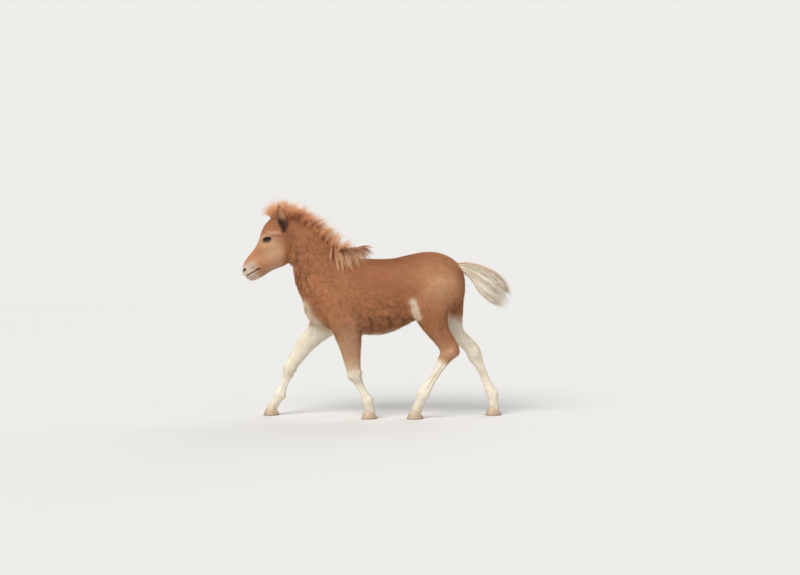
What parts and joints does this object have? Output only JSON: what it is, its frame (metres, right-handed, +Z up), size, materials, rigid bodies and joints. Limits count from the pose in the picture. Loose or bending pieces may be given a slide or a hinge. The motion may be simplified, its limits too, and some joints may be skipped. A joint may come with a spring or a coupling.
{
  "type": "shetland pony foal",
  "caption": "Life-size still model of a chestnut and white Shetland pony foal in mid stride, standing on its own hooves.",
  "frame": {"origin": "on the floor, under the middle of the animal's box", "axes": "+X from head to tail, +Z up, the animal's left side faces -Y"},
  "size_m": [1.0948, 0.219, 0.8928],
  "materials": {
    "coat": "woolly foal coat, chestnut with white legs",
    "tail_hair": "soft cream hair",
    "ear": "short chestnut hair, dark inside the cup",
    "eye": "wet dark brown",
    "hoof": "dull pale horn"
  },
  "bodies": {
    "root": {"torso": "coat", "neck": "coat", "head": "coat", "ear_left": "ear", "ear_right": "ear", "eye_left": "eye", "eye_right": "eye", "tail": "tail_hair", "foreleg_left": "coat", "foreleg_right": "coat", "hindleg_left": "coat", "hindleg_right": "coat", "hoof_fore_left": "hoof", "hoof_fore_right": "hoof", "hoof_hind_left": "hoof", "hoof_hind_right": "hoof"}
  },
  "joints": []
}
